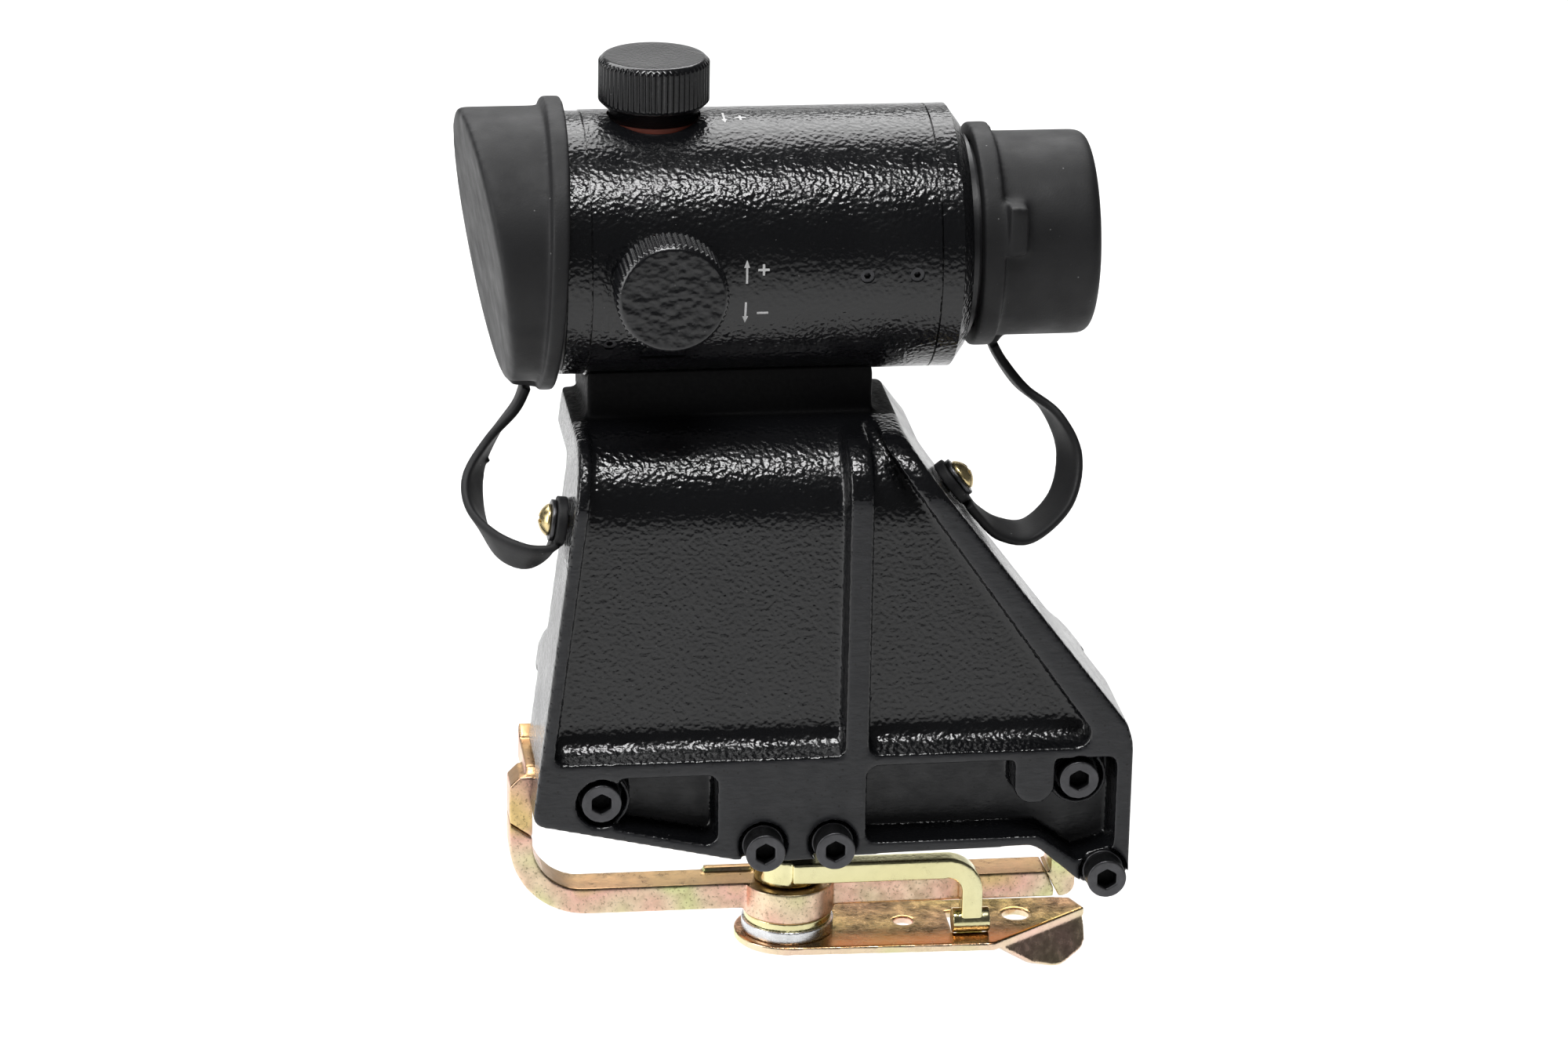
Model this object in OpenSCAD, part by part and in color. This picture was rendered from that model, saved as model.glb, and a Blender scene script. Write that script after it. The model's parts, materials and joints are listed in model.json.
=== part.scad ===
// Tube sight on a quick-release side-rail bracket.
// The long axis of the tube is X (+X towards the eyepiece), +Y points into the rail, +Z is up.
// The origin is the middle of the flat face that rests on the side rail.

/* [Sight tube] */
// Outer radius of the sight tube
tube_r = 28; // [27.8:0.1:28.4]
// Radius of the bore inside the tube
bore_r = 24; // [23.5:0.1:24.5]
// Height of the tube axis over the rail
axis_z = 99.7; // [99:0.1:101]
// Distance of the tube axis behind the rail face
axis_y = 14; // [13.5:0.1:14.5]

/* [Turrets] */
// Radius of the adjustment knobs
knob_r = 11.7; // [11:0.1:12.5]
// Height of the gripped part of the knobs
knob_h = 10.4; // [9:0.1:11]
// Position of both knobs along the tube
knob_x = -28; // [-29:0.5:-27]

/* [Rubber caps] */
// Outer radius of the objective cap
front_cap_r = 29; // [28.9:0.1:29.5]
// Outer radius of the eyepiece cap
rear_cap_r = 21.8; // [21.6:0.1:22.2]

/* [Bracket] */
// Thickness of the bracket foot, front face to rail face
foot_depth = 26; // [26:0.5:28]
// Height of the shelf over the middle of the rail
shelf_z = 65; // [65:0.1:65.5]
// Height of the rail that the foot fits
rail_h = 16; // [15.5:0.1:16.5]

/* [Lever] */
// Thickness of the sheet lever
lever_t = 1.8; // [1.5:0.1:2]
// Radius of the round head of the lever
lever_head_r = 11.6; // [11:0.1:12]

/* [Hidden] */

$fn = 96;

front_y = -foot_depth;      // front plate of the bracket
tube_x0 = -43.2;            // seam to the objective bezel
tube_x1 = 29.6;             // seam to the eyepiece bezel
bezel_x0 = -48.4;           // objective bezel's front end
bezel_x1 = 34.4;            // where the eyepiece bezel's chamfer starts
bezel_x2 = 37;              // end of that chamfer
run = 0.05;                 // radial clearance of a running fit
gap = 0.1;                  // face clearance between moving pieces
rubber = 1.7;               // wall of the rubber caps
rail_half = rail_h / 2;

// Radial places in a turret, measured from the tube axis
seat_t = 26.2;
seal_t = 27.2;
neck_t = seal_t + gap;
grip_t = 30.1;
top_t = grip_t + knob_h;

// Unit vector
function unit(v) = v / norm(v);

// Points of the arc that rounds corner b between its neighbours a and c
function corner(a, b, c, r, n) =
    r <= 0 ? [b] :
    let (
        u = unit(a - b),
        v = unit(c - b),
        half = acos(u * v) / 2,
        m = b + unit(u + v) * (r / sin(half)),
        p = b + u * (r / tan(half)) - m,
        q = b + v * (r / tan(half)) - m
    )
    [for (i = [0:n]) m + r * unit(p * (1 - i / n) + q * (i / n))];

// Outline with rounded corners: pts are [x, y, radius]
function rounded(pts, n = 5) = [
    for (i = [0:len(pts) - 1])
        let (
            a = pts[(i + len(pts) - 1) % len(pts)],
            b = pts[i],
            c = pts[(i + 1) % len(pts)]
        )
        each corner([a[0], a[1]], [b[0], b[1]], [c[0], c[1]], b[2], n)
];

// Catmull-Rom point between b and c
function blend4(a, b, c, d, t) =
    0.5 * (2 * b + (c - a) * t + (2 * a - 5 * b + 4 * c - d) * t * t
        + (3 * b - a - 3 * c + d) * t * t * t);
function smooth_route(p, n) = [
    for (i = [0:len(p) - 2], k = [0:n - 1])
        blend4(p[max(i - 1, 0)], p[i], p[i + 1], p[min(i + 2, len(p) - 1)], k / n),
    p[len(p) - 1]
];

// 2D shape in (x, z), between two depths along Y
module slab_y(y0, y1) translate([0, y1, 0]) rotate([90, 0, 0]) linear_extrude(y1 - y0) children();
// 2D shape in (y, z), between two places along X
module slab_x(x0, x1) translate([x0, 0, 0]) rotate([90, 0, 90]) linear_extrude(x1 - x0) children();
// 2D shape in (x, y), between two heights
module slab_z(z0, z1) translate([0, 0, z0]) linear_extrude(z1 - z0) children();

// Cylinder along the tube axis
module tube_cyl(x0, x1, r, r2 = undef)
    translate([x0, axis_y, axis_z]) rotate([0, 90, 0])
        cylinder(h = x1 - x0, r1 = r, r2 = is_undef(r2) ? r : r2);
module tube_ring(x0, x1, r_out, r_in) difference() {
    tube_cyl(x0, x1, r_out);
    tube_cyl(x0 - 1, x1 + 1, r_in);
}
// Children drawn along +Z from the tube axis, set at the top and at the front of the tube
module on_top() translate([knob_x, axis_y, axis_z]) children();
module on_front() translate([knob_x, axis_y, axis_z]) rotate([90, 0, 0]) children();
module on_back(x) translate([x, axis_y, axis_z]) rotate([-90, 0, 0]) children();
// Children drawn along +Z, pointing out of the tube wall at an angle from the front
module on_wall(x, a) translate([x, axis_y, axis_z]) rotate([-a, 0, 0]) rotate([90, 0, 0]) children();
// Cylinder along Y from y0 to y1
module pin_y(x, z, y0, y1, r) translate([x, y1, z]) rotate([90, 0, 0]) cylinder(h = y1 - y0, r = r);

// ---------------------------------------------------------------- bracket
left_lean = 0.126;          // slope of the left side
diag_lean = 0.764;          // slope of the right diagonal
function left_x(z) = -57.1 + left_lean * (z + 20);
function diag_x(z) = 40.2 - diag_lean * (z - 41.7);
foot_top = 1.7;             // where the diagonal starts on the right
stud_x = 0;
stud_y = -12;
stud_r = 3.9;
band_d = 9;                 // depth of the two recessed bands of the foot
upper_screws = [[-42, -12.4], [60.6, -10.8]];
upper_screw_end = [0, front_y + band_d + 0.4];   // the right one stops short of the jaw slot
lower_screws = [[-7.4, -23.3], [7.6, -23.3]];
toe_screw = [66.6, -32.2];

plate_outline = [
    [left_x(-17), -17, 2.5], [-13.8, -26.5, 8], [-2, -27.3, 8], [12.3, -26.5, 8], [51.4, -25.7, 4],
    [62.6, -35.4, 2], [67, -37.2, 3], [72.1, -34, 3], [72.1, foot_top - 4, 3],
    [70.8, foot_top, 3], [diag_x(shelf_z + 2), shelf_z + 2, 0], [left_x(shelf_z + 2), shelf_z + 2, 0]
];
skin_r = 13;                // roll of the front skin into the shelf
back_y = -6;                // back of the slab above and below the rail
lip_y = 5;                  // reach of the fixed rail lip
land_y = 2.2;               // straight land of the seat before its undercut

// Side view: front skin, roll, shelf and rail seat
module side_view() {
    translate([front_y, -40]) square([foot_depth + back_y, 40 + shelf_z - skin_r]);
    translate([front_y + skin_r, shelf_z - skin_r]) circle(skin_r);
    translate([front_y + skin_r, shelf_z - 8]) square([22 - front_y - skin_r, 8]);
    translate([front_y + skin_r, 40]) square([back_y - front_y - skin_r + 2, shelf_z - 41]);
    polygon([
        [back_y - 1, -rail_half - 1.5], [0, -rail_half - 1.5], [0, rail_half + 0.3],
        [land_y, rail_half + 0.3], [lip_y, rail_half - 2.5], [lip_y, rail_half + 5],
        [2, rail_half + 8], [back_y - 1, rail_half + 14]
    ]);
    polygon([[back_y - 1, shelf_z - 22], [back_y + 8, shelf_z - 7], [back_y - 1, shelf_z - 7]]);
}

// Space in front of a large pocket's floor: rolled foot, flat floor, roll back into the shelf
pocket_d = 6;
pocket_foot = -3.2;
module pocket_view() difference() {
    translate([front_y - 2, pocket_foot]) square([25, shelf_z + 6 - pocket_foot]);
    translate([front_y + pocket_d, pocket_foot - 1]) square([30, shelf_z - 19 - pocket_foot + 1]);
    translate([front_y + pocket_d + 19, shelf_z - 19]) circle(19);
    difference() {
        translate([front_y, pocket_foot]) square(pocket_d);
        translate([front_y, pocket_foot + pocket_d]) circle(pocket_d);
    }
}
module left_pocket() polygon(rounded([
    [left_x(pocket_foot) + 3, pocket_foot - 0.1, 1.5], [9.8, pocket_foot - 0.1, 1.5],
    [9.8, shelf_z + 5, 0], [left_x(shelf_z + 5) + 3, shelf_z + 5, 0]
]));
module right_pocket() polygon(rounded([
    [15.2, pocket_foot - 0.1, 1.5], [65.5, pocket_foot - 0.1, 3], [14.9, 68.2, 0.5]
]));

module left_band() polygon(rounded([
    [-38.3, -6.9, 1], [-17.4, -6.8, 2], [-17.3, -23.1, 2], [-39.5, -18.2, 1]
]));
module right_band() polygon(rounded([
    [14.8, -6, 2], [68.6, -5.6, 2], [68.6, -27, 2], [60.6, -29.4, 1], [52.2, -23.3, 3], [14.8, -23.5, 2]
]));
// Tongue that hangs from the top of the right band
module tongue() polygon(rounded([[46.5, -5, 0], [55.2, -5, 0], [55.2, -15.8, 4], [46.5, -15.8, 4]]));

saddle_x = [-43, 17.8];
saddle_half = 14;
saddle_screw_places = [for (x = [-34, 10], y = [axis_y - 7, axis_y + 7]) [x, y]];

strap_eye_left = [left_x(47), -13, 47];
strap_eye_right = [diag_x(51.5), -10, 51.5];
diag_tilt = atan(diag_lean);

// Children drawn along +Z, pointing straight out of the left or the diagonal side
module on_left_side() translate(strap_eye_left) rotate([0, -90 + atan(left_lean), 0]) children();
module on_diagonal() translate(strap_eye_right) rotate([0, 90 - diag_tilt, 0]) children();

jaw_leg_right = [57.2, 62.6];
jaw_leg_left = [-60.6, -55.7];
jaw_step = 3.4;             // the left jaw's head stands this far inside its leg, behind the foot
jaw_clear = 0.6;            // side clearance of the jaws in the foot
jaw_y0 = -15.2;
jaw_y1 = -6.7;

module bracket() color("#15161a") difference() {
    union() {
        difference() {
            intersection() {
                slab_y(front_y, 30) polygon(rounded(plate_outline));
                slab_x(-80, 90) side_view();
            }
            intersection() {
                slab_y(front_y - 2, 20) left_pocket();
                slab_x(-80, 90) pocket_view();
            }
            intersection() {
                slab_y(front_y - 2, 20) right_pocket();
                slab_x(-80, 90) pocket_view();
            }
            slab_y(front_y - 1, front_y + band_d) left_band();
            slab_y(front_y - 1, front_y + band_d) difference() {
                right_band();
                tongue();
            }
        }
        // Bosses of the upper screws, the saddle under the tube
        for (s = upper_screws) pin_y(s[0], s[1], front_y + 2, front_y + band_d + 1, 6.3);
        translate([saddle_x[0], axis_y - saddle_half, shelf_z - 3])
            cube([saddle_x[1] - saddle_x[0], 2 * saddle_half, 14]);
    }
    tube_cyl(saddle_x[0] - 5, saddle_x[1] + 5, tube_r);
    for (i = [0:1]) {
        pin_y(upper_screws[i][0], upper_screws[i][1], front_y - 1, front_y + 5.2, 5.4);
        pin_y(upper_screws[i][0], upper_screws[i][1], front_y, upper_screw_end[i] + 0.1, 2.5);
    }
    for (s = lower_screws) {
        pin_y(s[0], s[1], front_y - 1, front_y + 2, 5.2);
        pin_y(s[0], s[1], front_y, 1, 2.7);
    }
    pin_y(toe_screw[0], toe_screw[1], front_y - 1, front_y + 2, 5.2);
    pin_y(toe_screw[0], toe_screw[1], front_y, 1, 2.7);
    // Rebate for the guide plate, slots for both jaws, socket of the stud
    translate([-80, back_y, -60]) cube([160, 30, 60 - rail_half - 1.5]);
    for (leg = [[jaw_leg_left[0], jaw_leg_left[1] + jaw_step], jaw_leg_right])
        translate([leg[0] - jaw_clear, jaw_y0 - 1, -60])
            cube([leg[1] - leg[0] + 2 * jaw_clear, 30, 60 - rail_half + 0.4]);
    translate([stud_x, stud_y, -40]) cylinder(h = 25, r = stud_r + run);
    for (s = saddle_screw_places) translate([s[0], s[1], shelf_z - 10]) {
        cylinder(h = 30, r = 2.2);
        cylinder(h = 6, r = 4);
    }
    on_left_side() translate([0, 0, -8]) cylinder(h = 9, r = 1.5);
    on_diagonal() translate([0, 0, -8]) cylinder(h = 9, r = 1.5);
}

// Steel plate behind the foot, below the rail, that guides the jaws and takes the screws
module guide_plate() color("#8b8f94") difference() {
    slab_y(back_y, 0) difference() {
        polygon([
            [-50, -rail_half - 1.7], [70.4, -rail_half - 1.7], [70.4, -36], [63.8, -36],
            [63.8, -26], [50, -25], [-14, -25], [-50, -17]
        ]);
        translate([jaw_leg_right[0] - 1, -19]) square([8, 20]);
        translate([jaw_leg_right[0] - 1, -40]) square([jaw_leg_right[1] - jaw_leg_right[0] + 1.6, 16]);
    }
    for (s = concat([upper_screws[0]], lower_screws, [toe_screw])) pin_y(s[0], s[1], back_y - 1, 1, 2.45);
}

// Socket-head cap screw along +Y: the head's face is at y, the shank ends at y_end
module cap_screw(x, y, z, y_end) difference() {
    union() {
        pin_y(x, z, y, y + 5, 4.25);
        pin_y(x, z, y + 5, y_end, 2.45);
    }
    translate([x, y - 0.1, z]) rotate([-90, 30, 0]) cylinder(h = 2.8, r = 2.31, $fn = 6);
}
washer_t = 1.3;
notch_y = front_y + 2;
module cap_screws() color("#2b2b2d") {
    for (i = [0:1]) cap_screw(upper_screws[i][0], front_y + 0.2, upper_screws[i][1], upper_screw_end[i]);
    for (s = lower_screws) cap_screw(s[0], notch_y - washer_t - 5, s[1], 0);
    cap_screw(toe_screw[0], notch_y - washer_t - 5, toe_screw[1], 0);
}
module lock_washers() color("#2f3033")
    for (s = concat(lower_screws, [toe_screw])) difference() {
        pin_y(s[0], s[1], notch_y - washer_t, notch_y, 4.5);
        pin_y(s[0], s[1], notch_y - washer_t - 1, notch_y + 1, 2.6);
        // Split of the spring washer
        translate([s[0] - 0.4, notch_y - washer_t - 1, s[1] - 6]) cube([0.8, washer_t + 2, 5]);
    }
module saddle_screws() color("#3a3b3d")
    for (s = saddle_screw_places) translate([s[0], s[1], 0]) difference() {
        union() {
            translate([0, 0, shelf_z - 7]) cylinder(h = 3, r = 3.6);
            translate([0, 0, shelf_z - 4]) cylinder(h = 14.5, r = 1.95);
        }
        translate([0, 0, shelf_z - 7.1]) cylinder(h = 1.8, r = 1.8, $fn = 6);
    }

// ---------------------------------------------------------------- sight tube
battery_x = 8;
switch_x = -22;
grub_places = [[14, 0], [24.5, 0], [-39.3, -33]];
plug_angle = -40;

module tube_body() color("#101114") difference() {
    union() {
        tube_ring(tube_x0, tube_x1, tube_r, bore_r);
        // Thicker wall inside, under the turrets and over the saddle screws
        intersection() {
            tube_cyl(tube_x0 + 1, tube_x1 - 1, tube_r - 0.5);
            union() {
                on_top() translate([0, 0, 22.4]) cylinder(h = 5, r = 8);
                on_front() translate([0, 0, 22.4]) cylinder(h = 5, r = 8);
            }
        }
    }
    on_top() translate([0, 0, seat_t]) cylinder(h = 8, r = 9.9);
    on_front() translate([0, 0, seat_t]) cylinder(h = 8, r = 9.9);
    on_top() cylinder(h = 40, r = 5);
    on_front() cylinder(h = 40, r = 5);
    on_back(battery_x) cylinder(h = 40, r = 6);
    on_back(switch_x) cylinder(h = 40, r = 3);
    for (g = grub_places) on_wall(g[0], g[1]) translate([0, 0, bore_r - 1]) cylinder(h = 8, r = 1.55);
    on_wall(knob_x, plug_angle) translate([0, 0, bore_r - 1]) cylinder(h = 8, r = 3);
    on_wall(knob_x, plug_angle) translate([0, 0, tube_r - 1.4]) cylinder(h = 8, r = 4.9);
    for (s = saddle_screw_places) translate([s[0], s[1], 70]) cylinder(h = 8, r = 2);
}
module objective_bezel() color("#101114") difference() {
    union() {
        tube_ring(bezel_x0, tube_x0 - 0.4, tube_r - 0.2, bore_r);
        tube_ring(tube_x0 - 0.4, tube_x0, tube_r - 0.9, bore_r);
    }
    tube_cyl(bezel_x0 - 1, bezel_x0 + 3, bore_r + 1.6);
}

// Slanted front plane shared by the hood and its cap: depth offset d inwards
slant = 9.7;
slant_turn = 28;            // turn of its lowest point round the tube axis, from below to the front
slant_x = -64.2;            // where the cap's front crosses the tube axis
module behind_slant(d)
    translate([slant_x + d, axis_y, axis_z]) rotate([-slant_turn, 0, 0]) rotate([0, -slant, 0])
    translate([0, -60, -80]) cube([120, 120, 160]);

hood_r = front_cap_r - rubber - 0.3;
module objective_hood() color("#141518") difference() {
    union() {
        intersection() {
            tube_cyl(-90, bezel_x0 - gap, hood_r);
            behind_slant(rubber + 0.6);
        }
        tube_cyl(bezel_x0 - gap, bezel_x0 + 1.5, bore_r + 1.6);
    }
    tube_cyl(-95, -30, bore_r);
}
module objective_lens() color([0.55, 0.35, 0.3, 0.5]) difference() {
    tube_cyl(-42.8, -38.2, bore_r - 0.02);
    // Concave rear face of the reflecting lens
    translate([-38.2 + 138.4, axis_y, axis_z]) sphere(140, $fn = 256);
}
module lens_retainer() color("#1b1c1f") tube_ring(-46.4, -42.8, bore_r - 0.02, 21.4);

module eyepiece_bezel() color("#101114") difference() {
    union() {
        tube_cyl(tube_x1 + 0.4, bezel_x1, tube_r);
        tube_cyl(tube_x1, tube_x1 + 0.4, tube_r - 0.9);
        tube_cyl(bezel_x1, bezel_x2, tube_r, tube_r - 3.6);
    }
    tube_cyl(tube_x1 - 1, bezel_x2 + 1, 19.2);
}
eye_r = rear_cap_r - rubber - 0.3;
module eyepiece_tube() color("#141518") difference() {
    union() {
        tube_cyl(tube_x1 - 3, 58, 19.2);
        tube_cyl(bezel_x2, 38.6, 21.4);
        tube_cyl(38.6, 58, eye_r);
        tube_cyl(tube_x1 - 6, tube_x1, bore_r - 0.02);
    }
    tube_cyl(0, 70, 17.4);
}
module eyepiece_window() color([0.6, 0.75, 0.8, 0.4]) tube_cyl(44, 46.6, 17.38);
module window_retainer() color("#1b1c1f") tube_ring(46.6, 49, 17.38, 15.6);

module turret_bushes() color("#b39a55") {
    on_top() bush();
    on_front() bush();
}
module bush() difference() {
    translate([0, 0, 22.6]) cylinder(h = seal_t - 22.6, r = 4.98);
    cylinder(h = 40, r = 3 + run);
}
module turret_seals() color("#8d2a14") {
    on_top() seal();
    on_front() seal();
}
module seal() difference() {
    translate([0, 0, seat_t]) cylinder(h = seal_t - seat_t, r = 9.6);
    cylinder(h = 40, r = 5.2);
}
module grub_screws() color("#26272a")
    for (g = grub_places) on_wall(g[0], g[1]) difference() {
        translate([0, 0, bore_r + 0.3]) cylinder(h = 3.2, r = 1.5);
        translate([0, 0, bore_r + 2.2]) cylinder(h = 2, r = 0.75, $fn = 6);
    }
module seal_plug() color("#17181b") on_wall(knob_x, plug_angle) difference() {
    union() {
        translate([0, 0, bore_r + 0.2]) cylinder(h = 3, r = 2.98);
        translate([0, 0, tube_r - 1.4]) cylinder(h = 2.2, r = 4.7);
    }
    translate([-6, -0.5, tube_r + 0.2]) cube([12, 1, 2]);
}
// Leaf spring on two feet, opposite both adjusters, that takes up the play of the cell ring
module cell_spring() color("#9fa3a8") on_wall(knob_x, -135) {
    translate([-8, -3, 21.9]) cube([24, 6, 0.6]);
    for (x = [-8, 14]) translate([x, -3, 22.2]) cube([2, 6, 1.55]);
}

// ---------------------------------------------------------------- turrets and optical cell
pitch = 0.5;                // travel of a plunger in one turn
module knob_body() difference() {
    union() {
        translate([0, 0, neck_t]) cylinder(h = grip_t - neck_t, r = 9.5);
        translate([0, 0, grip_t]) cylinder(h = 0.8, r1 = knob_r - 0.8, r2 = knob_r);
        translate([0, 0, grip_t + 0.8]) cylinder(h = knob_h - 1.8, r = knob_r);
        translate([0, 0, top_t - 1]) cylinder(h = 1, r1 = knob_r, r2 = knob_r - 1);
    }
    translate([0, 0, neck_t - 1]) cylinder(h = top_t - 3 - neck_t + 1, r = 2.98);
}
module adjust_screw() {
    translate([0, 0, neck_t - 0.3]) cylinder(h = top_t - 3 - neck_t + 0.3, r = 2.98);
    translate([0, 0, 22.8]) cylinder(h = neck_t - 22.8, r = 3);
}
module elevation_knob() color("#121316") on_top() knob_body();
module windage_knob() color("#121316") on_front() knob_body();
module elevation_screw() color("#a9abad") on_top() {
    adjust_screw();
    translate([0, 0, 22.8 - 1]) cylinder(h = 1.1, r = 1.5);
}
module windage_screw() color("#a9abad") on_front() {
    adjust_screw();
    translate([0, 0, 18.6]) cylinder(h = 4.3, r = 1.5);
}
// The plungers ride on the thin end of the screws, held clear by a running fit
module elevation_plunger() color("#b8a15c") on_top() difference() {
    translate([0, 0, 21.05]) cylinder(h = 1.1, r = 2.4);
    translate([0, 0, 21.05 - 1]) cylinder(h = 4, r = 1.5 + run);
}
module windage_plunger() color("#b8a15c") on_front() difference() {
    translate([0, 0, 17.08]) cylinder(h = 5, r = 2.4);
    translate([0, 0, 17.9]) cylinder(h = 6, r = 1.5 + run);
}
// The ring is open at the front, where the windage plunger reaches through to the cell
module cell_ring() color("#303236") difference() {
    tube_ring(knob_x - 4, knob_x + 4, 21, 17.7);
    on_front() translate([-5, -4.4, 0]) cube([10, 8.8, 40]);
}
module optical_cell() color("#1d1e21") difference() {
    tube_ring(-36, 12, 17, 15.4);
    on_wall(8, -90) cylinder(h = 30, r = 2.52);
}
module led_emitter() color("#c23b2a") on_wall(8, -90) {
    translate([0, 0, 12.4]) cylinder(h = 4, r = 2.5);
    translate([0, 0, 12.4]) sphere(2.5);
}

// ---------------------------------------------------------------- lamp supply on the far side
holder_t = 30;
module battery_holder() color("#131417") on_back(battery_x) difference() {
    union() {
        translate([0, 0, bore_r + 1]) cylinder(h = holder_t - bore_r - 1, r = 5.98);
        difference() {
            translate([0, 0, 20]) cylinder(h = holder_t + 4.6 - 20, r = 12.5);
            translate([0, 0, 0]) rotate([0, 90, 0]) cylinder(h = 80, r = tube_r, center = true);
        }
    }
    translate([0, 0, holder_t]) cylinder(h = 10, r = 10.3);
    cylinder(h = 60, r = 1.6);
}
module coin_cell() color("#c9cbcc") on_back(battery_x)
    translate([0, 0, holder_t + 0.9]) cylinder(h = 3.2, r = 10);
module battery_contact() color("#c7a64f") on_back(battery_x) union() {
    translate([0, 0, holder_t]) cylinder(h = 0.9, r = 3.4);
    translate([0, 0, bore_r - 2]) cylinder(h = holder_t - bore_r + 2, r = 1.5);
}
module circuit_board() color("#1f6b3c")
    translate([battery_x - 9, axis_y + 18.4, axis_z - 4]) cube([18, 1.6, 8]);
module battery_cap() color("#121316") on_back(battery_x) difference() {
    union() {
        translate([0, 0, holder_t + 4.7]) cylinder(h = 3.2, r = 12.5);
        translate([0, 0, holder_t + 7.9]) cylinder(h = 1, r1 = 12.5, r2 = 11.5);
    }
    translate([-8, -1, holder_t + 7.4]) cube([16, 2, 4]);
}
module brightness_knob() color("#121316") on_back(switch_x) difference() {
    union() {
        translate([0, 0, tube_r + 0.2]) cylinder(h = 7, r = 8.5);
        translate([0, 0, tube_r + 7.2]) cylinder(h = 0.8, r1 = 8.5, r2 = 7.7);
    }
    translate([0, 0, tube_r]) cylinder(h = 5, r = 2);
}
module brightness_spindle() color("#a9abad") on_back(switch_x) {
    translate([0, 0, bore_r - 1.4]) cylinder(h = tube_r + 5 - bore_r + 1.4, r = 1.98);
    translate([0, 0, bore_r - 1.8]) cylinder(h = 1.2, r = 4.5);
}

// ---------------------------------------------------------------- rubber caps and straps
bead_x = [-52.2, -48.6];
module objective_cap() color("#33353a") difference() {
    union() {
        intersection() {
            tube_cyl(-95, bead_x[1], front_cap_r);
            behind_slant(0);
        }
        tube_cyl(bead_x[0], bead_x[1], front_cap_r + 2);
        // Root of the strap
        translate([-58, axis_y - 4.5, axis_z - front_cap_r - 1.6]) cube([6.5, 9, 6]);
    }
    intersection() {
        tube_cyl(-95, 0, hood_r + 0.3);
        behind_slant(rubber);
    }
}
module eyepiece_cap() color("#33353a") difference() {
    union() {
        tube_cyl(39.2, 63.6, rear_cap_r);
        tube_cyl(63.6, 65, rear_cap_r, rear_cap_r - 1.4);
        tube_cyl(39.2, 43.8, rear_cap_r + 2);
        // Finger tab on the front, root of the strap below
        translate([44.4, axis_y - rear_cap_r - 2.6, axis_z + 2.3]) cube([4.2, 9, 10.6]);
        translate([44, axis_y - 4.5, axis_z - rear_cap_r - 1.8]) cube([3, 9, 6]);
    }
    tube_cyl(30, 63, eye_r + 0.3);
}

// Flat strap swept along rows of [centre, half-width vector]
strap_t = 2;
strap_steps = 3;
module strap(rows) {
    mid = smooth_route([for (r = rows) r[0]], strap_steps);
    wide = smooth_route([for (r = rows) r[1]], strap_steps);
    n = len(mid);
    function along(i) = unit(mid[min(i + 1, n - 1)] - mid[max(i - 1, 0)]);
    function flat(i) = unit(cross(along(i), wide[i])) * strap_t / 2;
    points = [
        for (i = [0:n - 1])
            each [
                mid[i] - wide[i] - flat(i), mid[i] + wide[i] - flat(i),
                mid[i] + wide[i] + flat(i), mid[i] - wide[i] + flat(i)
            ]
    ];
    sides = [
        for (i = [0:n - 2], k = [0:3])
            each [
                [4 * (i + 1) + (k + 1) % 4, 4 * i + (k + 1) % 4, 4 * i + k],
                [4 * (i + 1) + k, 4 * (i + 1) + (k + 1) % 4, 4 * i + k]
            ]
    ];
    last = 4 * (n - 1);
    polyhedron(points, concat(sides, [[0, 1, 2, 3], [last + 3, last + 2, last + 1, last]]));
}
half_w = 4.2;
objective_route = [
    [[-54.8, 14, 68.6], [0, half_w, 0]],
    [[-57, 12.5, 64], [0.6, 4.1, 0]],
    [[-62.5, 9, 58.5], [1.6, 3.8, 0]],
    [[-66.8, 4, 52], [2.2, 3.5, -0.6]],
    [[-66.8, -3, 45.8], [1.8, 3, -2.2]],
    [[-63.2, -9.6, 41.4], [0.6, 2.2, -3.4]],
    [[-57.5, -13.6, 39.6], [0, 2.4, -3.4]],
    [[-52.8, -13.6, 40.4], [0, 3.4, -2.2]],
    [[-50.7, -13, 43], [0, half_w, 0]]
];
eyepiece_route = [
    [[45.4, 14, 75.6], [0, half_w, 0]],
    [[47.2, 13, 72], [-0.4, 4, 0]],
    [[51.5, 10, 66.5], [-1, 4, 0]],
    [[57.5, 6, 62], [-1.6, 3.8, 0]],
    [[61, 2, 54], [-2, 3.6, 0]],
    [[58.5, -4, 45.6], [-1.6, 3.8, 0.4]],
    [[51, -8, 40], [-0.4, 4, 1]],
    [[44, -9.6, 41.2], [0.2, 4, 0.8]],
    [[39.2, -10, 45.1], [0, 4, 0]],
    [[37, -10, 47.9], [0, 4, 0]]
];
lug_t = 2.4;
module strap_lug() difference() {
    union() {
        translate([0, 0, 0.05]) cylinder(h = lug_t, r = 5.4);
        translate([-6.4, -4.2, 0.05]) cube([6.4, 8.4, lug_t]);
    }
    translate([0, 0, -1]) cylinder(h = 9, r = 1.6);
}
module objective_strap() color("#33353a") {
    strap(objective_route);
    on_left_side() strap_lug();
}
module eyepiece_strap() color("#33353a") {
    strap(eyepiece_route);
    on_diagonal() rotate([0, 0, 180]) strap_lug();
}
module pan_screw() difference() {
    union() {
        translate([0, 0, -7]) cylinder(h = 7 + lug_t + 1.3, r = 1.45);
        intersection() {
            translate([0, 0, lug_t + 1.2]) cylinder(h = 2.4, r = 3.4);
            translate([0, 0, lug_t - 0.6]) sphere(4.1);
        }
    }
    for (a = [0, 90]) rotate([0, 0, a]) translate([-1.8, -0.4, lug_t + 2.2]) cube([3.6, 0.8, 3]);
}
module strap_screws() color("#c2a560") {
    on_left_side() pan_screw();
    on_diagonal() pan_screw();
}
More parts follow.
